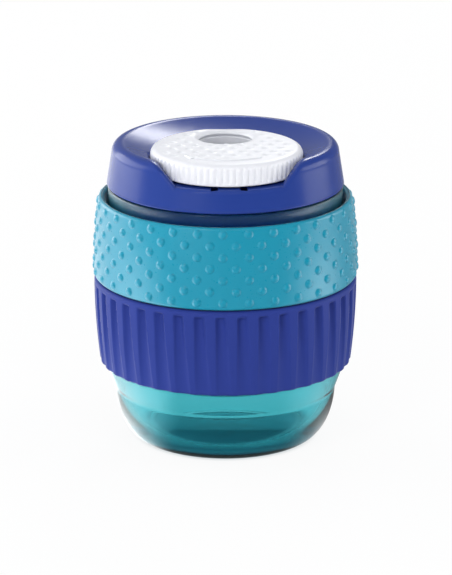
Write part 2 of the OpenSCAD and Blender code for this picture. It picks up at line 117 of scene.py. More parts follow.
# lid
LID_Z = RIM_Z + 0.2
LID_TOP = lid_high[2]
LID_R = lid_high[0]
LID_SHOULDER_R = LID_R - 0.85
LID_ROUND = 1.6
LID_EDGE_ROUND = 0.25
CREST_R = LID_SHOULDER_R - LID_ROUND
CREST_IN = 2.5
CREST_TURN = math.radians(17)
DISH_R = 54.6
DISH_T = 1.5
PLUG_R = NECK_R - NECK_WALL - 0.1
PLUG_IN = PLUG_R - 1.25
PLUG_Z = lid_low[2]
PLUG_TOP_Z = LID_Z + 0.8
PLUG_ROUND = 0.6
HOLLOW_R = PLUG_IN + 0.8
HOLLOW_Z = LID_Z + 1.5
HOLLOW_LOW_Z = LID_Z - 3.0
HOLLOW_TOP_Z = LID_TOP - LID_ROUND - 0.6
WELL_Z = LID_Z + 3.85
FLOOR_Z = WELL_Z - 1.6
WELL_WALL = 1.3
WELL_SKIN = 0.3
NOTCH_HALF = 8.7
NOTCH_SLOPE = 0.93
NOTCH_ROUND = 0.8
SLIT_W = 1.1
SLIT_OUT = 0.15
TONGUE_W = 3.7
TONGUE_L = 3.2
SHELL_BLEND = 0.3
WELL_BLEND = 0.2
PLUG_BLEND = 0.1
HOLE_EDGE = 0.12
LID_CELL = 0.15

# dial
DIAL_R = 12.65
DIAL_OFFSET = LID_R - 1.45 - DIAL_R
WELL_R = DIAL_R + 0.15
DIAL_Z0 = WELL_Z + 0.35
DIAL_Z1 = DIAL_Z0 + 3.6
DIAL_UNDER = DIAL_Z1 - 1.5
DIAL_WALL = 1.5
DIAL_ROUND = 1.2
DIAL_EDGE_ROUND = 0.3
RIB_COUNT = 72
RIB_DEPTH = 0.28
RIB_BLUNT = 0.8
RIB_LOW = 0.25  # the ribs start this far above the dial's edge and fade in over RIB_FADE_LOW
RIB_FADE_LOW = 0.4
RIB_HIGH = 0.4  # they end this far below its top and fade out over RIB_FADE_HIGH
RIB_FADE_HIGH = 0.5
HOLE_R = 4.3
HOLE_OFFSET = DIAL_R - 1.55 - HOLE_R
HOLE_ROUND = 1.5
TUBE_R = HOLE_R + 1.05
FLOOR_HOLE_R = HOLE_R + 0.1
PIN_HOLE_R = HOLE_OFFSET - FLOOR_HOLE_R - 0.75
PIN_R = PIN_HOLE_R - 0.1
PIN_SLIT = 0.7
HOOK_Z0 = dial_low[2]
HOOK_H = 0.7
HOOK_REACH = 0.4
LUG_R = 7.0
LUG_W = 1.3
LUG_HALF = math.radians(6)
LUG_PLAY = math.radians(2)
LUG_CLEAR = 0.1
TRACK_Z = FLOOR_Z + 0.8
DOME_PITCH = 2.53
DOME_ROW_STEP = DOME_PITCH * math.sin(math.radians(60))
DOME_SHIFT = 0.74
DOME_D = 1.3
DOME_H = 0.22
DOME_BLEND = 0.16
HOLE_LAND = 0.5  # the hole's rim is free of domes over this width
MARK_D = DOME_D * 1.25
MARK_Y = DOME_SHIFT - 2 * DOME_ROW_STEP
ARROW_R = 9.2
ARROW_W = 0.7
ARROW_H = 0.23
ARROW_BLEND = 0.14
ARROW_HEAD = 1.9
ARROW_HEAD_BACK = 0.3
ARROW_HEAD_SLOPE = 2.0
ARROW_FROM = math.radians(-128.0)
ARROW_TO = math.radians(-55.0)
ARROW_LAND = 0.95  # domes keep this far from the arrow's middle line, and these angles from its ends
ARROW_LAND_FROM = 0.15
ARROW_LAND_TO = 0.1
UNDER_OVERLAP = 0.5
DIAL_CELL = 0.1
FAR = 9.0  # further than any dome

# holder
PENCIL_Y = HOLE_OFFSET - DIAL_OFFSET
PLATE_Z = HOOK_Z0 - 0.4
BOSS_R = 2.1
SCREW_RING_R = PLUG_IN - 0.3 - 3.0
SCREW_ANGLES = (0.0, 90.0, 180.0)
BOSS_HOLE_R = 0.95
BOSS_HOLE_TOP = PLATE_Z + 3.0


# ------------------------------------------------------------------ meshes

def new_piece(name, verts, faces, body, *nodes, slot):
    """A smooth mesh, given in millimetres, that rides on a body and takes the place of nodes."""
    mesh = bpy.data.meshes.new(name)
    mesh.vertices.add(len(verts))
    mesh.vertices.foreach_set("co", (np.asarray(verts, dtype=np.float64) * MM).ravel())
    faces = np.asarray(faces, dtype=np.int32)
    mesh.loops.add(faces.size)
    mesh.loops.foreach_set("vertex_index", faces.ravel())
    mesh.polygons.add(len(faces))
    mesh.polygons.foreach_set("loop_start", np.arange(0, faces.size, faces.shape[1], dtype=np.int32))
    mesh.polygons.foreach_set("use_smooth", np.ones(len(faces), dtype=bool))
    mesh.update(calc_edges=True)
    mesh.validate()
    piece = bpy.data.objects.new(name, mesh)
    bpy.context.scene.collection.objects.link(piece)
    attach(piece, body)
    if nodes:
        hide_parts(*nodes)
    return piece


def turned(section, columns, shift=None):
    """Verts and quads of a closed section (r, z) turned about Z. shift(angle, r, z) moves points."""
    section = np.asarray(section, dtype=float)
    angle = np.linspace(0.0, 2.0 * math.pi, columns, endpoint=False)[:, None]
    r = np.broadcast_to(section[:, 0], (columns, len(section)))
    z = np.broadcast_to(section[:, 1], (columns, len(section)))
    angle = np.broadcast_to(angle, r.shape)
    if shift is not None:
        angle, r, z = shift(angle, r, z)
    verts = np.stack([r * np.cos(angle), r * np.sin(angle), z], axis=-1).reshape(-1, 3)
    index = np.arange(len(verts)).reshape(columns, len(section))
    right = np.roll(index, -1, axis=0)
    faces = np.stack([index, right, np.roll(right, -1, axis=1), np.roll(index, -1, axis=1)], axis=-1)
    return verts, faces.reshape(-1, 4)


def arc(cx, cz, radius, start, end, steps):
    angles = np.radians(np.linspace(start, end, steps + 1))
    return [(cx + radius * math.cos(a), cz + radius * math.sin(a)) for a in angles]


def corner(r0, r1, z0, z1, steps=28):
    """Quarter of a rounded corner, from a flat base to an upright wall."""
    points = []
    for a in np.linspace(math.pi / 2, 0.0, steps + 1):
        points.append((r0 + (r1 - r0) * abs(math.cos(a)) ** (2 / CORNER_FULLNESS),
                       z1 - (z1 - z0) * abs(math.sin(a)) ** (2 / CORNER_FULLNESS)))
    return points


def smooth_max(a, b, k):
    h = np.maximum(k - np.abs(a - b), 0.0) / k
    return np.maximum(a, b) + h * h * k * 0.25


def smooth_min(a, b, k):
    return -smooth_max(-a, -b, k)


def section_distance(points, r, z):
    """Signed distance from points (r, z) to a closed outline, negative inside."""
    points = np.asarray(points, dtype=float)
    best = np.full(r.shape, np.inf)
    inside = np.zeros(r.shape, dtype=bool)
    for (ax, az), (bx, bz) in zip(points, np.roll(points, -1, axis=0)):
        ex, ez = bx - ax, bz - az
        wx, wz = r - ax, z - az
        t = np.clip((wx * ex + wz * ez) / max(ex * ex + ez * ez, 1e-12), 0.0, 1.0)
        best = np.minimum(best, (wx - ex * t) ** 2 + (wz - ez * t) ** 2)
        crosses = (az > z) != (bz > z)
        if ez != 0.0:
            inside ^= crosses & (r < ax + ex * (z - az) / ez)
    return np.sqrt(best) * np.where(inside, -1.0, 1.0)


def section_table(points, low, high, step=0.02):
    """section_distance looked up in a fine table over (r, z)."""
    rs = np.arange(low[0], high[0] + step, step)
    zs = np.arange(low[1], high[1] + step, step)
    table = section_distance(points, *np.meshgrid(rs, zs, indexing="ij"))

    def look_up(r, z):
        u = np.clip((r - low[0]) / step, 0.0, len(rs) - 1.001)
        v = np.clip((z - low[1]) / step, 0.0, len(zs) - 1.001)
        i, j = u.astype(np.int32), v.astype(np.int32)
        u, v = u - i, v - j
        return ((table[i, j] * (1 - u) + table[i + 1, j] * u) * (1 - v)
                + (table[i, j + 1] * (1 - u) + table[i + 1, j + 1] * u) * v)

    return look_up


def skin_of(field, low, high, cell):
    """Verts and quads of the surface where field(x, y, z) is zero, one vertex for each cell it crosses."""
    axes = [np.arange(a - 2 * cell, b + 2.5 * cell, cell) for a, b in zip(low, high)]
    values = np.empty([len(a) for a in axes], dtype=np.float32)
    for start in range(0, len(axes[0]), 16):
        xs = axes[0][start:start + 16]
        values[start:start + 16] = field(*np.meshgrid(xs, axes[1], axes[2], indexing="ij"))
    inside = values < 0.0
    corners = [np.array([i, j, k]) for i in (0, 1) for j in (0, 1) for k in (0, 1)]
    count = sum(inside[i:inside.shape[0] - 1 + i, j:inside.shape[1] - 1 + j, k:inside.shape[2] - 1 + k]
                .astype(np.int8) for i, j, k in corners)
    active = (count > 0) & (count < 8)
    cells = np.argwhere(active)
    number = np.full(active.shape, -1, dtype=np.int32)
    number[active] = np.arange(len(cells))
    total = np.zeros((len(cells), 3))
    hits = np.zeros(len(cells))
    at = {tuple(c): values[tuple((cells + c).T)] for c in corners}
    for c in corners:
        for axis in range(3):
            if c[axis]:
                continue
            other = c.copy()
            other[axis] = 1
            first, second = at[tuple(c)], at[tuple(other)]
            crosses = (first < 0.0) != (second < 0.0)
            share = np.where(crosses, first / np.where(crosses, first - second, 1.0), 0.0)
            point = c + share[:, None] * (other - c)
            total += np.where(crosses[:, None], point, 0.0)
            hits += crosses
    start = np.array([a[0] for a in axes])
    verts = start + (cells + total / hits[:, None]) * cell
    verts = settle(field, verts, cell)
    quads = []
    for axis in range(3):
        u, v = (axis + 1) % 3, (axis + 2) % 3
        near = np.take(inside, range(inside.shape[axis] - 1), axis=axis)
        far = np.take(inside, range(1, inside.shape[axis]), axis=axis)
        edges = np.argwhere(near != far)
        step_u, step_v = np.eye(3, dtype=int)[u], np.eye(3, dtype=int)[v]
        ring = [edges, edges - step_u, edges - step_u - step_v, edges - step_v]
        quad = np.stack([number[tuple(r.T)] for r in ring], axis=-1)
        outward = near[tuple(edges.T)]
        quad[~outward] = quad[~outward][:, ::-1]
        quads.append(quad)
    return verts, np.concatenate(quads)


def settle(field, verts, cell):
    """Moves points onto the surface along the field's slope."""
    step = cell * 0.1
    for _ in range(3):
        x, y, z = verts.T
        slope = np.stack([field(x + step, y, z) - field(x - step, y, z),
                          field(x, y + step, z) - field(x, y - step, z),
                          field(x, y, z + step) - field(x, y, z - step)], axis=-1) / (2 * step)
        length = np.maximum((slope ** 2).sum(axis=1), 0.05)
        move = -slope * (field(x, y, z) / length)[:, None]
        far = np.linalg.norm(move, axis=1)
        verts = verts + move * np.minimum(1.0, cell * 0.5 / np.maximum(far, 1e-9))[:, None]
    return verts


# ------------------------------------------------------------------ container

def close_set(points, step=0.4):
    """The same outline with points at most step apart, so that its flats shade flat."""
    out = []
    for first, second in zip(np.array(points), np.roll(points, -1, axis=0)):
        count = max(1, math.ceil(np.linalg.norm(second - first) / step))
        out += [first + (second - first) * i / count for i in range(count)]
    return out


def container_section():
    bore = NECK_R - NECK_WALL
    outside = []
    for r in np.linspace(AXIS_R, RECESS_R, 24):
        wave = math.cos(math.pi * r / RECESS_R)
        outside.append((r, RECESS_H * (1 + RECESS_EDGE + (1 - RECESS_EDGE) * wave) / 2))
    outside += [(RECESS_R + FOOT_ROUND, 0.0)]
    outside += corner(BASE_R, CORNER_R, 0.0, CORNER_Z)
    outside += [(SEAT_R, FLARE_TOP_Z), (SEAT_R, RIM_Z - NECK_H - SHOULDER_H), (NECK_R, RIM_Z - NECK_H)]
    outside += arc(NECK_R - RIM_ROUND, RIM_Z - RIM_ROUND, RIM_ROUND, 0, 90, 5)
    inside = arc(bore + MOUTH_ROUND, RIM_Z - MOUTH_ROUND, MOUTH_ROUND, 90, 180, 4)
    inside += [(bore, FLARE_TOP_Z)]
    inside += corner(BASE_R - BASE_WALL, CORNER_R - BASE_WALL, FLOOR_T, CORNER_Z + INNER_CORNER_UP)[::-1]
    inside += [(AXIS_R, FLOOR_T)]
    return close_set(outside + inside)


def make_container():
    verts, faces = turned(container_section(), CONTAINER_COLUMNS)
    return new_piece("clear_container", verts, faces, "cup", "container", slot="clear_teal_plastic")


# ------------------------------------------------------------------ sleeves

def barrel_at(z):
    return BARREL_R - BARREL_CURVE_R + np.sqrt(BARREL_CURVE_R ** 2 - (z - BARREL_Z) ** 2)


def sleeve_section(z0, z1, rows):
    """Closed section of a sleeve. Outer side first, from the lower edge to the upper one."""
    z_low, z_high = z0 + SLEEVE_ROUND, z1 - SLEEVE_ROUND
    points = arc(float(barrel_at(z_low)) - SLEEVE_ROUND, z_low, SLEEVE_ROUND, -90, 0, 8)
    points += [(float(barrel_at(z)), z) for z in np.linspace(z_low, z_high, rows)[1:-1]]
    points += arc(float(barrel_at(z_high)) - SLEEVE_ROUND, z_high, SLEEVE_ROUND, 0, 90, 8)
    points += arc(SLEEVE_R + INNER_ROUND, z1 - INNER_ROUND, INNER_ROUND, 90, 180, 6)
    points += arc(SLEEVE_R + INNER_ROUND_LOW, z0 + INNER_ROUND_LOW, INNER_ROUND_LOW, 180, 270, 3)
    return points


def outer_share(r):
    """1 on a sleeve's outer side, 0 on its inner side."""
    return np.clip((r - SLEEVE_R - INNER_SKIN) / INNER_SKIN, 0.0, 1.0)


def raise_dots(angle, r, z):
    """Round domes, steep at the foot, with every other row turned by half a pitch."""
    pitch = 2.0 * math.pi / DOT_COUNT
    height = np.zeros_like(r)
    for row in range(DOT_ROWS):
        dz = z - (DOT_FIRST_Z + row * DOT_STEP)
        turn = (angle - DOT_PHASE - (row % 2) * pitch / 2 + pitch / 2) % pitch - pitch / 2
        away = np.hypot(turn * r, dz)
        share = np.sqrt(np.maximum(1.0 - (away / (DOT_D / 2 + DOT_FOOT)) ** 2, 0.0))
        height = np.maximum(height, DOT_H * share)
    return angle, r + height * outer_share(r), z


def cut_flutes(angle, r, z):
    """Round grooves between flat ridges. Going down, the ridges lean and narrow and the grooves run out."""
    pitch = 2.0 * math.pi / FLUTE_COUNT
    up = np.clip((z - ribbed_low[2]) / (ribbed_high[2] - ribbed_low[2]), 0.0, 1.0)
    ridge = RIDGE_LOW + (RIDGE_HIGH - RIDGE_LOW) * up
    u = ((angle - FLUTE_PHASE) / pitch - FLUTE_LEAN * (1.0 - up)) % 1.0
    groove = np.sin(math.pi * np.clip((u - ridge) / (1.0 - ridge), 0.0, 1.0)) ** FLUTE_BLUNT
    fade = np.clip((ribbed_high[2] - FLUTE_BAND - z) / FLUTE_END, 0.0, 1.0)
    fade = fade * fade * (3 - 2 * fade) * (FLUTE_LOW + (1.0 - FLUTE_LOW) * up)
    return angle, r - FLUTE_DEPTH * groove * fade * outer_share(r), z


def make_sleeves():
    dot_rows, dot_columns = ((118, 38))
    section = sleeve_section(dotted_low[2], dotted_high[2], dot_rows)
    dotted = turned(section, DOT_COUNT * dot_columns, raise_dots)
    section = sleeve_section(ribbed_low[2], ribbed_high[2], 60)
    ribbed = turned(section, FLUTE_COUNT * 24, cut_flutes)
    return (new_piece("dotted_grip", *dotted, "cup", "dotted_sleeve", slot="light_blue_rubber"),
            new_piece("ribbed_grip", *ribbed, "cup", "ribbed_sleeve", slot="dark_blue_rubber"))


# ------------------------------------------------------------------ lid

def dish_points(drop):
    """Arc of the dished top, lowered by drop, from its edge to the axis."""
    edge = math.asin((CREST_R - CREST_IN * math.sin(CREST_TURN)) / DISH_R)
    centre = LID_TOP - CREST_IN * (1 - math.cos(CREST_TURN)) + DISH_R * math.cos(edge)
    return [(DISH_R * math.sin(a), centre - DISH_R * math.cos(a) - drop) for a in np.linspace(edge, 0.0, 24)]


def lid_sections():
    """Distance tables of the lid's outside and of the hollow under its dish."""
    outside = [(-MARGIN, LID_Z)]
    outside += arc(LID_R - LID_EDGE_ROUND, LID_Z + LID_EDGE_ROUND, LID_EDGE_ROUND, -90, 0, 6)
    outside += arc(CREST_R, LID_TOP - LID_ROUND, LID_ROUND, 0, 90, 14)
    outside += arc(CREST_R, LID_TOP - CREST_IN, CREST_IN, 93, 107, 4)
    outside += dish_points(0.0)
    outside += [(-MARGIN, outside[-1][1])]
    hollow = [(-MARGIN, HOLLOW_LOW_Z), (PLUG_IN, HOLLOW_LOW_Z), (PLUG_IN, HOLLOW_Z), (HOLLOW_R, HOLLOW_Z),
              (HOLLOW_R, HOLLOW_TOP_Z)]
    hollow += dish_points(DISH_T)
    hollow += [(-MARGIN, hollow[-1][1])]
    low, high = (0.0, PLUG_Z - MARGIN), (LID_R + MARGIN, LID_TOP + MARGIN)
    return section_table(outside, low, high), section_table(hollow, low, high)


def polar(x, y):
    return np.hypot(x, y), np.arctan2(y, x)


def wedge(turn, start, end):
    """Below zero between two angles; turn, start and end are in radians."""
    middle, half = (start + end) / 2, (end - start) / 2
    return np.abs((turn - middle + math.pi) % (2 * math.pi) - math.pi) - half


def make_lid():
    outside, hollow = lid_sections()

    def field(x, y, z):
        r = np.hypot(x, y)
        dy = y + DIAL_OFFSET
        rho, turn = polar(x, dy)
        body = outside(r, z)
        shell = smooth_max(body, -hollow(r, z), SHELL_BLEND)
        inner = np.maximum(rho - WELL_R - WELL_WALL, FLOOR_Z - z)
        screws = [np.hypot(x - SCREW_RING_R * math.cos(a), y - SCREW_RING_R * math.sin(a))
                  for a in np.radians(SCREW_ANGLES)]
        screw = np.minimum.reduce(screws)
        inner = np.minimum(inner, np.maximum(screw - BOSS_R, PLATE_Z - z))
        solid = smooth_min(shell, np.maximum(inner, body + WELL_SKIN), WELL_BLEND)
        plug = np.abs(r - (PLUG_R + PLUG_IN) / 2) - (PLUG_R - PLUG_IN) / 2
        plug = np.maximum(smooth_max(plug, PLUG_Z - z, PLUG_ROUND), z - PLUG_TOP_Z)
        solid = smooth_min(solid, plug, PLUG_BLEND)
        flank = (np.abs(x) - NOTCH_HALF - NOTCH_SLOPE * (z - WELL_Z)) / math.hypot(1.0, NOTCH_SLOPE)
        cut = np.minimum(rho - WELL_R, np.maximum(flank, dy))
        solid = smooth_max(solid, -np.maximum(cut, WELL_Z - z), NOTCH_ROUND)
        side = np.abs(np.abs(x) - (TONGUE_W + SLIT_W) / 2) - SLIT_W / 2
        slit = np.maximum(side, np.maximum(-dy - WELL_R - SLIT_OUT, dy + WELL_R - TONGUE_L))
        cross = np.abs(dy + WELL_R - TONGUE_L + SLIT_W / 2) - SLIT_W / 2
        cross = np.maximum(np.abs(x) - TONGUE_W / 2, cross)
        pin = rho - PIN_HOLE_R
        pencil = np.hypot(x, y - PENCIL_Y) - FLOOR_HOLE_R
        through = np.minimum(np.minimum(slit, cross), np.minimum(pin, pencil))
        solid = smooth_max(solid, -np.maximum(through, FLOOR_Z - MARGIN - z), HOLE_EDGE)
        end = LUG_HALF + LUG_PLAY
        track = np.maximum(np.abs(rho - LUG_R - LUG_W / 2) - LUG_W / 2 - LUG_CLEAR,
                           rho * wedge(turn, -math.pi - end, end))
        solid = np.maximum(solid, -np.maximum(track, TRACK_Z - z))
        return np.maximum(solid, -np.maximum(screw - BOSS_HOLE_R, z - BOSS_HOLE_TOP))

    verts, faces = skin_of(field, lid_low, lid_high, LID_CELL * (1))
    return new_piece("lid_shell", verts, faces, "lid_unit", "lid", slot="blue_lid_plastic")


# ------------------------------------------------------------------ dial

def dome_distance(x, y, z):
    """Distance to the nearest dome on the dial's top: small ones in a triangular grid and a larger mark."""
    best = np.full(x.shape, FAR)
    for odd in (0, 1):
        row = 2 * np.round(((y - DOME_SHIFT) / DOME_ROW_STEP - odd) / 2) + odd
        column = np.round(x / DOME_PITCH - odd / 2) + odd / 2
        cx, cy = column * DOME_PITCH, DOME_SHIFT + row * DOME_ROW_STEP
        away, turn = polar(cx, cy)
        keep = away < DIAL_R - DIAL_ROUND - DOME_D / 2
        keep &= np.hypot(cx, cy - HOLE_OFFSET) > HOLE_R + HOLE_LAND + DOME_D / 2
        past_ends = (turn < ARROW_FROM - ARROW_LAND_FROM) | (turn > ARROW_TO + ARROW_LAND_TO)
        keep &= (away < ARROW_R - ARROW_LAND) | past_ends
        best = np.where(keep, np.minimum(best, dome(x - cx, y - cy, z, DOME_D, DOME_H)), best)
    return np.minimum(best, dome(x, y - MARK_Y, z, MARK_D, DOME_H))


def dome(x, y, z, across, height):
    """Distance to a ball that stands out of the dial's top by height and is across wide there."""
    ball = ((across / 2) ** 2 + height ** 2) / (2 * height)
    return np.sqrt(x ** 2 + y ** 2 + (z - DIAL_Z1 - height + ball) ** 2) - ball


def arrow_distance(x, y):
    """Distance, in plan, to the arc and the triangular head of the arrow."""
    rho, turn = polar(x, y)
    line = np.maximum(np.abs(rho - ARROW_R) - ARROW_W / 2, rho * wedge(turn, ARROW_FROM, ARROW_TO))
    out_x, out_y = math.cos(ARROW_FROM), math.sin(ARROW_FROM)
    out = (x - ARROW_R * out_x) * out_x + (y - ARROW_R * out_y) * out_y
    ahead = (x - ARROW_R * out_x) * out_y - (y - ARROW_R * out_y) * out_x
    sides = (np.abs(out) * ARROW_HEAD_SLOPE + ahead - ARROW_HEAD) / math.hypot(ARROW_HEAD_SLOPE, 1.0)
    return np.minimum(line, np.maximum(sides, -ahead - ARROW_HEAD_BACK))


def make_dial():
    def field(x, y, z):
        y = y + DIAL_OFFSET
        rho, turn = polar(x, y)
        groove = np.abs(np.sin(turn * RIB_COUNT / 2)) ** RIB_BLUNT
        fade = np.clip((z - DIAL_Z0 - RIB_LOW) / RIB_FADE_LOW, 0.0, 1.0)
        fade = fade * np.clip((DIAL_Z1 - RIB_HIGH - z) / RIB_FADE_HIGH, 0.0, 1.0)
        side = rho - DIAL_R + RIB_DEPTH * (1.0 - groove) * fade
        over_side, over_top = side + DIAL_ROUND, z - DIAL_Z1 + DIAL_ROUND
        cap = np.hypot(np.maximum(over_side, 0.0), np.maximum(over_top, 0.0)) - DIAL_ROUND
        cap = cap + np.minimum(np.maximum(over_side, over_top), 0.0)
        cap = smooth_max(cap, DIAL_Z0 - z, DIAL_EDGE_ROUND)
        cap = smooth_min(cap, dome_distance(x, y, z), DOME_BLEND)
        arrow = np.maximum(arrow_distance(x, y), np.abs(z - DIAL_Z1) - ARROW_H)
        cap = smooth_min(cap, arrow, ARROW_BLEND)
        cap = np.maximum(cap, -np.maximum(rho - DIAL_R + DIAL_WALL, z - DIAL_UNDER))
        shaft = np.maximum(rho - PIN_R, HOOK_Z0 - z)
        hook = np.maximum(rho - PIN_R - HOOK_REACH, np.abs(z - HOOK_Z0 - HOOK_H / 2) - HOOK_H / 2)
        gap = np.maximum(np.abs(x) - PIN_SLIT / 2, z - DIAL_Z0)
        pin = np.maximum(np.minimum(shaft, hook), -gap)
        lug = np.maximum(np.abs(rho - LUG_R - LUG_W / 2) - LUG_W / 2, TRACK_Z + LUG_CLEAR - z)
        lug = np.maximum(lug, rho * wedge(turn, -LUG_HALF, LUG_HALF))
        away = np.minimum(np.hypot(x, y - HOLE_OFFSET), np.hypot(x, y + HOLE_OFFSET))
        tube = np.maximum(np.abs(away - (TUBE_R + HOLE_R) / 2) - (TUBE_R - HOLE_R) / 2, DIAL_Z0 - z)
        under = np.minimum(np.minimum(pin, lug), tube)
        under = np.maximum(under, z - DIAL_UNDER - UNDER_OVERLAP)
        solid = np.minimum(cap, under)
        return smooth_max(solid, HOLE_R - np.hypot(x, y - HOLE_OFFSET), HOLE_ROUND)

    verts, faces = skin_of(field, dial_low, dial_high, DIAL_CELL * (1))
    return new_piece("dial_cap", verts, faces, "dial_unit", "dial", slot="white_dial_plastic")


# ------------------------------------------------------------------ materials

# Noise seldom leaves this range, so materials spread it over theirs.
NOISE_SPAN = {"From Min": 0.3, "From Max": 0.7}
FROST_STEP = 0.3  # the neck's frosting comes in from this far below its foot to this far above


def colour(code):
    """Linear colour from an sRGB hex code."""
    parts = [int(code[i:i + 2], 16) / 255 for i in (1, 3, 5)]
    return [p / 12.92 if p <= 0.04045 else ((p + 0.055) / 1.055) ** 2.4 for p in parts] + [1.0]


def add(tree, kind, inputs=None, **settings):
    """Adds a node with its settings. An input is a value, a socket, or a node to link its first output."""
    node = tree.nodes.new(kind)
    for key, value in settings.items():
        setattr(node, key, value)
    for key, value in (inputs or {}).items():
        if isinstance(value, bpy.types.Node):
            value = value.outputs[0]
        if isinstance(value, bpy.types.NodeSocket):
            tree.links.new(value, node.inputs[key])
        else:
            node.inputs[key].default_value = value
    return node


def new_material(name):
    """An empty material, its node tree and the object's own coordinates."""
    material = bpy.data.materials.new(name)
    material.use_nodes = True
    tree = material.node_tree
    tree.nodes.clear()
    return material, tree, add(tree, "ShaderNodeTexCoord").outputs["Object"]


def clear_tinted_polystyrene():
    """Injection-moulded clear polystyrene: glossy, tinted through its thickness, frosted on its neck."""
    material, tree, place = new_material("clear_tinted_polystyrene")
    height = add(tree, "ShaderNodeSeparateXYZ", {0: place}).outputs["Z"]
    neck_z = RIM_Z - NECK_H
    neck = add(tree, "ShaderNodeMapRange", {"Value": height, "From Min": (neck_z - FROST_STEP) * MM,
                                            "From Max": (neck_z + FROST_STEP) * MM})
    rough = add(tree, "ShaderNodeMapRange", {"Value": neck, "To Min": 0.03, "To Max": 0.35})
    glint = add(tree, "ShaderNodeMix", {"Factor": neck, 6: colour("#58E4F0"), 7: colour("#FFFFFF")},
                data_type="RGBA").outputs[2]
    ripple = add(tree, "ShaderNodeTexNoise", {"Vector": place, "Scale": 1 / (9.0 * MM), "Detail": 1.0})
    bump = add(tree, "ShaderNodeBump", {"Height": ripple, "Distance": 0.03 * MM, "Strength": 0.15})
    shader = add(tree, "ShaderNodeBsdfPrincipled", {
        "Base Color": colour("#FFFFFF"), "Roughness": rough, "IOR": 1.59, "Transmission Weight": 1.0,
        "Specular Tint": glint, "Normal": bump})
    # Lamps shine through it, tinted, on what is behind.
    shadow = add(tree, "ShaderNodeLightPath").outputs["Is Shadow Ray"]
    passed = add(tree, "ShaderNodeBsdfTransparent", {"Color": colour("#B8ECF2")})
    surface = add(tree, "ShaderNodeMixShader", {0: shadow, 1: shader, 2: passed})
    tint = add(tree, "ShaderNodeVolumeAbsorption", {"Color": colour("#00DEE5"), "Density": 700.0})
    add(tree, "ShaderNodeOutputMaterial", {"Surface": surface, "Volume": tint})
    return material


def soft_grip_rubber(name, base, deep, gloss, sheen, rough):
    """Moulded thermoplastic rubber: satin, from the fine spark-eroded grain of its mould."""
    material, tree, place = new_material(name)
    fine = add(tree, "ShaderNodeTexNoise", {"Vector": place, "Scale": 1 / (0.35 * MM), "Detail": 3.0})
    broad = add(tree, "ShaderNodeTexNoise", {"Vector": place, "Scale": 1 / (6.0 * MM), "Detail": 2.0})
    tone = add(tree, "ShaderNodeMix", {"Factor": broad, 6: colour(base), 7: colour(deep)}, data_type="RGBA")
    spread = add(tree, "ShaderNodeMapRange", {"Value": fine, **NOISE_SPAN, "To Min": rough - 0.04,
                                              "To Max": rough + 0.04})
    bump = add(tree, "ShaderNodeBump", {"Height": fine, "Distance": 0.02 * MM, "Strength": 0.1})
    shader = add(tree, "ShaderNodeBsdfPrincipled", {
        "Base Color": tone.outputs[2], "IOR": 1.5, "Specular IOR Level": gloss, "Sheen Weight": sheen,
        "Sheen Roughness": 0.25, "Roughness": spread, "Normal": bump})
    add(tree, "ShaderNodeOutputMaterial", {"Surface": shader})
    return material


def moulded_blue_abs():
    """Injection-moulded ABS: semi-gloss with the faint unevenness of a polished mould."""
    material, tree, place = new_material("moulded_blue_abs")
    peel = add(tree, "ShaderNodeTexNoise", {"Vector": place, "Scale": 1 / (1.6 * MM), "Detail": 2.0})
    broad = add(tree, "ShaderNodeTexNoise", {"Vector": place, "Scale": 1 / (10.0 * MM), "Detail": 2.0})
    tone = add(tree, "ShaderNodeMix", {"Factor": broad, 6: colour("#273F8E"), 7: colour("#263E8C")},
               data_type="RGBA")
    spread = add(tree, "ShaderNodeMapRange", {"Value": peel, **NOISE_SPAN, "To Min": 0.22, "To Max": 0.25})
    bump = add(tree, "ShaderNodeBump", {"Height": peel, "Distance": 0.01 * MM, "Strength": 0.03})
    shader = add(tree, "ShaderNodeBsdfPrincipled", {
        "Base Color": tone.outputs[2], "IOR": 1.53, "Specular IOR Level": 0.22,
        "Roughness": spread, "Normal": bump})
    add(tree, "ShaderNodeOutputMaterial", {"Surface": shader})
    return material


def moulded_white_abs():
    """Injection-moulded white ABS: semi-gloss, a little light gets under its surface."""
    material, tree, place = new_material("moulded_white_abs")
    peel = add(tree, "ShaderNodeTexNoise", {"Vector": place, "Scale": 1 / (1.2 * MM), "Detail": 2.0})
    tone = add(tree, "ShaderNodeMix", {"Factor": peel, 6: colour("#EDEEF2"), 7: colour("#E8E9EF")},
               data_type="RGBA")
    spread = add(tree, "ShaderNodeMapRange", {"Value": peel, **NOISE_SPAN, "To Min": 0.3, "To Max": 0.38})
    bump = add(tree, "ShaderNodeBump", {"Height": peel, "Distance": 0.015 * MM, "Strength": 0.12})
    shader = add(tree, "ShaderNodeBsdfPrincipled", {
        "Base Color": tone.outputs[2], "IOR": 1.53, "Roughness": spread, "Normal": bump,
        "Subsurface Weight": 0.3, "Subsurface Radius": [1.0, 1.0, 1.0], "Subsurface Scale": 0.5 * MM})
    add(tree, "ShaderNodeOutputMaterial", {"Surface": shader})
    return material


def grey_polypropylene():
    """Moulded polypropylene of the holder: matte, with a fine grain."""
    material, tree, place = new_material("grey_polypropylene")
    fine = add(tree, "ShaderNodeTexNoise", {"Vector": place, "Scale": 1 / (0.4 * MM), "Detail": 3.0})
    tone = add(tree, "ShaderNodeMix", {"Factor": fine, 6: colour("#DDDFE2"), 7: colour("#D2D5DA")},
               data_type="RGBA")
    spread = add(tree, "ShaderNodeMapRange", {"Value": fine, **NOISE_SPAN, "To Min": 0.42, "To Max": 0.55})
    bump = add(tree, "ShaderNodeBump", {"Height": fine, "Distance": 0.02 * MM, "Strength": 0.3})
    shader = add(tree, "ShaderNodeBsdfPrincipled", {
        "Base Color": tone.outputs[2], "IOR": 1.49, "Roughness": spread, "Normal": bump})
    add(tree, "ShaderNodeOutputMaterial", {"Surface": shader})
    return material


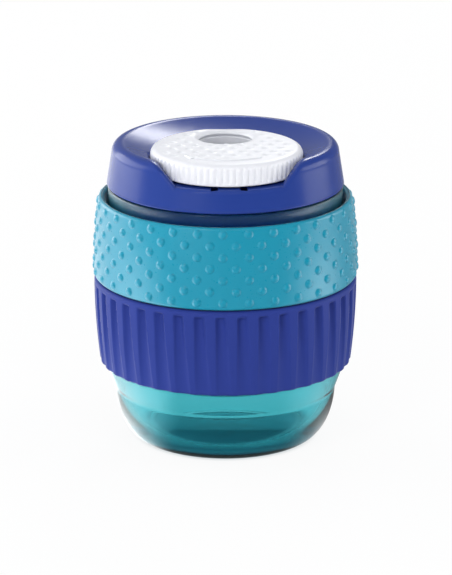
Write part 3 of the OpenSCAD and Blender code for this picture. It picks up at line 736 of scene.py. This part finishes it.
def tumbled_magnesium():
    """Cast magnesium, tumbled: grey metal with a soft mottled sheen."""
    material, tree, place = new_material("tumbled_magnesium")
    mottle = add(tree, "ShaderNodeTexNoise", {"Vector": place, "Scale": 1 / (0.8 * MM), "Detail": 4.0,
                                              "Roughness": 0.6})
    tone = add(tree, "ShaderNodeMix", {"Factor": mottle, 6: colour("#B9BABC"), 7: colour("#A3A5A8")},
               data_type="RGBA")
    spread = add(tree, "ShaderNodeMapRange", {"Value": mottle, **NOISE_SPAN, "To Min": 0.36, "To Max": 0.52})
    bump = add(tree, "ShaderNodeBump", {"Height": mottle, "Distance": 0.02 * MM, "Strength": 0.35})
    shader = add(tree, "ShaderNodeBsdfPrincipled", {
        "Base Color": tone.outputs[2], "Metallic": 1.0, "Roughness": spread,
        "Normal": bump})
    add(tree, "ShaderNodeOutputMaterial", {"Surface": shader})
    return material


def ground_blade_steel():
    """Hardened blade steel with fine grinding lines along the blade, drawn 0.12 mm apart to show."""
    material, tree, place = new_material("ground_blade_steel")
    along = add(tree, "ShaderNodeMapping", {"Vector": place, "Scale": (1.0, 1.0, 0.04)})
    lines = add(tree, "ShaderNodeTexNoise", {"Vector": along, "Scale": 1 / (0.12 * MM), "Detail": 3.0})
    tone = add(tree, "ShaderNodeMix", {"Factor": lines, 6: colour("#C9CBCF"), 7: colour("#B4B7BC")},
               data_type="RGBA")
    spread = add(tree, "ShaderNodeMapRange", {"Value": lines, **NOISE_SPAN, "To Min": 0.2, "To Max": 0.34})
    bump = add(tree, "ShaderNodeBump", {"Height": lines, "Distance": 0.005 * MM, "Strength": 0.3})
    shader = add(tree, "ShaderNodeBsdfPrincipled", {
        "Base Color": tone.outputs[2], "Metallic": 1.0, "Roughness": spread,
        "Normal": bump})
    add(tree, "ShaderNodeOutputMaterial", {"Surface": shader})
    return material


def zinc_plated_steel():
    """Zinc-plated steel of the screws: bright, slightly blue."""
    material, tree, place = new_material("zinc_plated_steel")
    mottle = add(tree, "ShaderNodeTexNoise", {"Vector": place, "Scale": 1 / (0.5 * MM), "Detail": 3.0})
    tone = add(tree, "ShaderNodeMix", {"Factor": mottle, 6: colour("#C6C9D0"), 7: colour("#B5B9C1")},
               data_type="RGBA")
    spread = add(tree, "ShaderNodeMapRange", {"Value": mottle, **NOISE_SPAN, "To Min": 0.24, "To Max": 0.36})
    shader = add(tree, "ShaderNodeBsdfPrincipled", {
        "Base Color": tone.outputs[2], "Metallic": 1.0, "Roughness": spread})
    add(tree, "ShaderNodeOutputMaterial", {"Surface": shader})
    return material


# ------------------------------------------------------------------ studio

CAMERA_DISTANCE = 600.0
CAMERA_ELEVATION = math.radians(16.98)
CAMERA_AZIMUTH = math.radians(-2.0)
CAMERA_TARGET = Vector((0.1, 0.0, 25.53)) * MM
FOCAL_PX = 3552.4
IMAGE_H_PX = 575.0
SENSOR = 36.0
CLIP_START = 10.0

# The lamps aim here.
LAMP_TARGET = Vector((0.0, 0.0, 30.0)) * MM

# The world's fill and the room that reflections show, each with the directions it changes between.
DAYLIGHT = (0.95, 0.97, 1.0, 1.0)
FILL_FRONT, FILL_BACK, FILL_Y = 0.15, 0.58, (-0.8, -0.2)
ROOM_RIGHT, ROOM_LEFT, ROOM_X = 0.22, 0.7, (0.2, -0.6)
ROOM_FRONT, ROOM_BACK, ROOM_Y = 0.2, 1.0, (-0.75, -0.3)

# The floor takes light and shadow under the recess, and is white from SHADE_OUT past the base on.
FLOOR_HALF = 1500.0
SHADE_OUT = 2.0
WHITE_LOW, WHITE_HIGH = 0.06, 0.92
# Through the clear base the spot that takes shadow is seen further to the front, and larger.
SHADE_SHIFT = 4.0
SHADE_GROWTH = 0.15
# Reflections show two glowing cards painted on the floor, left and right of the object: painted reflections
# that the camera doesn't see.
CARD_EDGE, CARD_SOLID = 0.6, 0.83  # a card fades in between these sines of the angle from the Y axis
CARD_INNER, CARD_FULL = 8.0, 20.0  # and between these distances from that axis
CARD_NEAR, CARD_OUT = 70.0, 100.0  # between these distances from the middle it narrows and brightens
CARD_NARROWING = 0.18
CARD_FAR, CARD_END = 160.0, 240.0  # and between these it fades out
CARD_LEFT, CARD_RIGHT, CARD_X, CARD_OUTER = 3.2, 1.0, (-0.6, 0.6), 5.5
# Elsewhere reflections see the floor dim: a painted dark reflection.
FLOOR_REFLECTED = 0.2
# Behind the object reflections show instead a floor painted brighter on the left than on the right, also a
# painted reflection.
BEHIND_LEFT, BEHIND_RIGHT, BEHIND_X = 1.7, 0.25, (-0.5, 0.5)
BEHIND_Y = (-0.2, 0.4)


def seen_from(azimuth, elevation):
    """Unit vector from the object toward a place in the studio; the angles are in radians."""
    return Vector((math.sin(azimuth) * math.cos(elevation), -math.cos(azimuth) * math.cos(elevation),
                   math.sin(elevation)))


def make_camera():
    data = bpy.data.cameras.new("camera")
    data.sensor_width = SENSOR
    data.lens = FOCAL_PX / IMAGE_H_PX * SENSOR
    data.clip_start = CLIP_START * MM
    camera = bpy.data.objects.new("camera", data)
    bpy.context.scene.collection.objects.link(camera)
    away = seen_from(CAMERA_AZIMUTH, CAMERA_ELEVATION)
    camera.location = CAMERA_TARGET + away * CAMERA_DISTANCE * MM
    camera.rotation_euler = away.to_track_quat("Z", "Y").to_euler()
    bpy.context.scene.camera = camera


def softbox(name, azimuth, elevation, distance, width, height, power, mirrored=True):
    """A lamp at angles in degrees, with its power in watts. Reflections show it only if it is mirrored."""
    data = bpy.data.lights.new(name, "AREA")
    data.shape = "RECTANGLE"
    data.size = width * MM
    data.size_y = height * MM
    data.energy = power
    lamp = bpy.data.objects.new(name, data)
    bpy.context.scene.collection.objects.link(lamp)
    away = seen_from(math.radians(azimuth), math.radians(elevation))
    lamp.location = LAMP_TARGET + away * distance * MM
    lamp.rotation_euler = away.to_track_quat("Z", "Y").to_euler()
    lamp.visible_glossy = mirrored
    lamp.visible_transmission = False


def ray_kinds(tree):
    """1 for camera rays and rays through clear plastic; 1 for reflected rays."""
    rays = add(tree, "ShaderNodeLightPath").outputs
    seen = add(tree, "ShaderNodeMath", {0: rays["Is Camera Ray"], 1: rays["Is Transmission Ray"]},
               operation="MAXIMUM")
    reflected = add(tree, "ShaderNodeMath", {0: rays["Is Glossy Ray"], 1: rays["Is Transmission Ray"]},
                    operation="SUBTRACT", use_clamp=True)
    return seen, reflected


def make_world():
    world = bpy.data.worlds.new("studio")
    bpy.context.scene.world = world
    world.use_nodes = True
    tree = world.node_tree
    tree.nodes.clear()
    seen, reflected = ray_kinds(tree)
    direction = add(tree, "ShaderNodeTexCoord").outputs["Generated"]
    direction = add(tree, "ShaderNodeSeparateXYZ", {0: direction}).outputs
    fill = add(tree, "ShaderNodeMapRange", {
        "Value": direction["Y"], "From Min": FILL_Y[0], "From Max": FILL_Y[1],
        "To Min": FILL_FRONT, "To Max": FILL_BACK})
    side = add(tree, "ShaderNodeMapRange", {
        "Value": direction["X"], "From Min": ROOM_X[0], "From Max": ROOM_X[1],
        "To Min": ROOM_RIGHT, "To Max": ROOM_LEFT})
    front = add(tree, "ShaderNodeMapRange", {
        "Value": direction["Y"], "From Min": ROOM_Y[0], "From Max": ROOM_Y[1],
        "To Min": ROOM_FRONT, "To Max": ROOM_BACK})
    room = add(tree, "ShaderNodeMath", {0: side, 1: front}, operation="MULTIPLY")
    fill = add(tree, "ShaderNodeBackground", {"Color": DAYLIGHT, "Strength": fill})
    room = add(tree, "ShaderNodeBackground", {"Color": DAYLIGHT, "Strength": room})
    white = add(tree, "ShaderNodeBackground", {"Color": (1.0, 1.0, 1.0, 1.0), "Strength": 1.0})
    mix = add(tree, "ShaderNodeMixShader", {0: seen, 1: fill, 2: white})
    mix = add(tree, "ShaderNodeMixShader", {0: reflected, 1: mix, 2: room})
    add(tree, "ShaderNodeOutputWorld", {"Surface": mix})


def white_share(tree, place, lit):
    """How white the floor is where lit is 1: hardly under the base, nearly all around it."""
    through = add(tree, "ShaderNodeLightPath").outputs["Is Transmission Ray"]
    shift = add(tree, "ShaderNodeVectorMath", {0: (0.0, SHADE_SHIFT * MM, 0.0), "Scale": through},
                operation="SCALE")
    reach = add(tree, "ShaderNodeVectorMath", {0: place, 1: shift}, operation="ADD")
    reach = add(tree, "ShaderNodeVectorMath", {0: reach}, operation="LENGTH").outputs["Value"]
    scale = add(tree, "ShaderNodeMath", {0: through, 1: -SHADE_GROWTH, 2: 1.0},
                operation="MULTIPLY_ADD")
    reach = add(tree, "ShaderNodeMath", {0: scale, 1: reach}, operation="MULTIPLY")
    white = add(tree, "ShaderNodeMapRange", {
        "Value": reach, "From Min": RECESS_R * MM, "From Max": (BASE_R + SHADE_OUT) * MM,
        "To Min": WHITE_LOW, "To Max": WHITE_HIGH}, interpolation_type="SMOOTHSTEP")
    return add(tree, "ShaderNodeMath", {0: lit, 1: white}, operation="MULTIPLY")


def floor_brightness(tree, place, reflected):
    """Brightness of the white floor: 1, but for reflected rays a dim floor with a glowing card painted on
    each side and a brighter patch behind, all painted reflections.
    """
    away = add(tree, "ShaderNodeVectorMath", {0: place}, operation="LENGTH").outputs["Value"]
    across = add(tree, "ShaderNodeVectorMath", {0: place}, operation="NORMALIZE")
    across = add(tree, "ShaderNodeSeparateXYZ", {0: across}).outputs
    flank = add(tree, "ShaderNodeMath", {0: across["X"]}, operation="ABSOLUTE")
    side = add(tree, "ShaderNodeMath", {0: flank, 1: away}, operation="MULTIPLY")
    outer = add(tree, "ShaderNodeMapRange", {"Value": away, "From Min": CARD_NEAR * MM,
                                             "From Max": CARD_OUT * MM})
    narrowing = add(tree, "ShaderNodeMath", {0: outer, 1: CARD_NARROWING}, operation="MULTIPLY")
    angle = add(tree, "ShaderNodeMath", {0: flank, 1: narrowing}, operation="SUBTRACT")
    card = add(tree, "ShaderNodeMapRange", {"Value": angle, "From Min": CARD_EDGE,
                                            "From Max": CARD_SOLID})
    near = add(tree, "ShaderNodeMapRange", {"Value": away, "From Min": CARD_END * MM,
                                            "From Max": CARD_FAR * MM})
    beside = add(tree, "ShaderNodeMapRange", {"Value": side, "From Min": CARD_INNER * MM,
                                              "From Max": CARD_FULL * MM})
    for share in (near, beside):
        card = add(tree, "ShaderNodeMath", {0: card, 1: share}, operation="MULTIPLY")
    strength = add(tree, "ShaderNodeMapRange", {
        "Value": across["X"], "From Min": CARD_X[0], "From Max": CARD_X[1],
        "To Min": CARD_LEFT, "To Max": CARD_RIGHT})
    strength = add(tree, "ShaderNodeMix", {0: outer, 2: strength, 3: CARD_OUTER})
    front = add(tree, "ShaderNodeMath", {0: card, 1: strength, 2: FLOOR_REFLECTED},
                operation="MULTIPLY_ADD")
    behind = add(tree, "ShaderNodeMapRange", {
        "Value": across["X"], "From Min": BEHIND_X[0], "From Max": BEHIND_X[1],
        "To Min": BEHIND_LEFT, "To Max": BEHIND_RIGHT})
    back = add(tree, "ShaderNodeMapRange", {
        "Value": across["Y"], "From Min": BEHIND_Y[0], "From Max": BEHIND_Y[1]})
    card = add(tree, "ShaderNodeMix", {0: back, 2: front, 3: behind})
    # Only reflected rays see these painted cards and the dim floor; the camera sees the floor white.
    return add(tree, "ShaderNodeMix", {0: reflected, 2: 1.0, 3: card})


def make_floor():
    half = FLOOR_HALF * MM
    mesh = bpy.data.meshes.new("floor")
    corners = [(-half, -half, 0), (half, -half, 0), (half, half, 0), (-half, half, 0)]
    mesh.from_pydata(corners, [], [(0, 1, 2, 3)])
    floor = bpy.data.objects.new("floor", mesh)
    bpy.context.scene.collection.objects.link(floor)
    material, tree, place = new_material("pale_floor")
    seen, reflected = ray_kinds(tree)
    lit = add(tree, "ShaderNodeMath", {0: seen, 1: reflected}, operation="MAXIMUM")
    plain = add(tree, "ShaderNodeBsdfDiffuse", {"Color": colour("#F2F2F2")})
    brightness = floor_brightness(tree, place, reflected)
    white = add(tree, "ShaderNodeEmission", {"Color": (1.0, 1.0, 1.0, 1.0), "Strength": brightness})
    mix = add(tree, "ShaderNodeMixShader", {0: white_share(tree, place, lit), 1: plain, 2: white})
    add(tree, "ShaderNodeOutputMaterial", {"Surface": mix})
    mesh.materials.append(material)


def dress(piece, material):
    piece.data.materials.clear()
    piece.data.materials.append(material)


bpy.context.scene.view_settings.view_transform = "Standard"
make_camera()
make_world()
make_floor()
softbox("left_softbox", -118, 8, 500, 500, 400, 2.1)
softbox("right_softbox", 98, 8, 500, 350, 350, 1.25)
softbox("front_softbox", -35, 12, 600, 300, 250, 1.35, mirrored=False)
softbox("high_softbox", 12, 42, 600, 250, 250, 0.8, mirrored=False)
softbox("key_spot", -28, 42, 600, 100, 100, 0.32)
softbox("back_spot", 170, 31, 600, 140, 120, 0.6)

dress(make_container(), clear_tinted_polystyrene())
dotted_grip, ribbed_grip = make_sleeves()
dress(dotted_grip, soft_grip_rubber("light_blue_tpe", "#0291AD", "#018FAB", 0.6, 0.3, 0.31))
dress(ribbed_grip, soft_grip_rubber("dark_blue_tpe", "#2D3D8C", "#2C3C8A", 0.1, 0.22, 0.5))
dress(make_lid(), moulded_blue_abs())
dress(make_dial(), moulded_white_abs())
screw_finish = zinc_plated_steel()
for node_name, finish in (("sharpener_holder", grey_polypropylene()), ("holder_screws", screw_finish),
                          ("sharpener_body", tumbled_magnesium()), ("blade", ground_blade_steel()),
                          ("blade_screw", screw_finish)):
    dress(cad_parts[node_name], finish)
